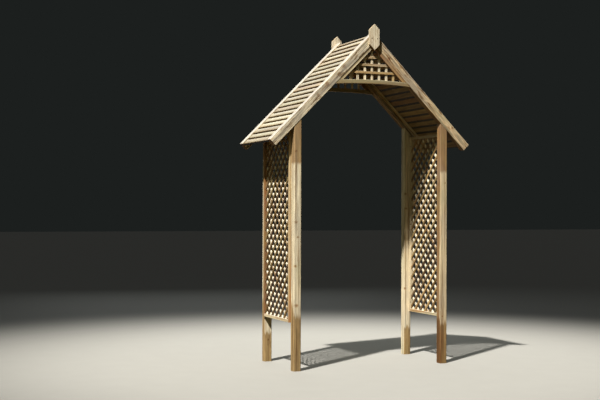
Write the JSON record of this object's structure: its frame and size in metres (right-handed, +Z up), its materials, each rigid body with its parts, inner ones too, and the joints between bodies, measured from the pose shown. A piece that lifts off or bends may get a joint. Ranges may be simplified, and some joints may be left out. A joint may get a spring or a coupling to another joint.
{
  "type": "wooden garden arch with lapped board roof and lattice sides",
  "caption": "Walk-through garden arch of square softwood posts with a steep lapped board roof, arched lattice gables, pointed finial boards and diagonal lattice side panels.",
  "frame": {"origin": "on the ground under the middle of the arch, halfway between the four posts", "axes": "+Z up, -Y towards the front, the walk-through direction runs along Y, +X to the right seen from the front"},
  "size_m": [1.966, 0.838, 3.053],
  "materials": {
    "post": "sawn and planed pressure-treated softwood, weathered, unpainted",
    "rafter": "sawn and planed pressure-treated softwood, weathered, unpainted",
    "cleat": "sawn and planed pressure-treated softwood, weathered, unpainted",
    "roof_board": "sawn and planed pressure-treated softwood, weathered, unpainted",
    "finial": "sawn and planed pressure-treated softwood, weathered, unpainted",
    "gable_rail": "sawn and planed pressure-treated softwood, weathered, unpainted",
    "lath": "sawn and planed pressure-treated softwood, weathered, unpainted",
    "batten": "sawn and planed pressure-treated softwood, weathered, unpainted",
    "panel_frame": "sawn and planed pressure-treated softwood, weathered, unpainted"
  },
  "bodies": {
    "root": {"post_front_left": "post", "post_front_right": "post", "post_rear_left": "post", "post_rear_right": "post", "rafter_front_left": "rafter", "rafter_front_right": "rafter", "rafter_rear_left": "rafter", "rafter_rear_right": "rafter", "board_cleat_front_left": "cleat", "board_cleat_front_right": "cleat", "board_cleat_rear_left": "cleat", "board_cleat_rear_right": "cleat", "roof_boards_left_lower": "roof_board", "roof_boards_left_upper": "roof_board", "roof_boards_right_lower": "roof_board", "roof_boards_right_upper": "roof_board", "finial_front": "finial", "gable_rail_front": "gable_rail", "gable_lattice_front": "lath", "finial_rear": "finial", "gable_rail_rear": "gable_rail", "gable_lattice_rear": "lath", "gable_batten_front_left": "batten", "gable_batten_front_right": "batten", "gable_batten_rear_left": "batten", "gable_batten_rear_right": "batten", "side_lattice_left": "lath", "panel_foot_rail_left": "panel_frame", "panel_top_rail_left": "panel_frame", "side_lattice_right": "lath", "panel_foot_rail_right": "panel_frame", "panel_top_rail_right": "panel_frame", "panel_stile_front_left": "panel_frame", "panel_stile_front_right": "panel_frame", "panel_stile_rear_left": "panel_frame", "panel_stile_rear_right": "panel_frame"}
  },
  "joints": []
}
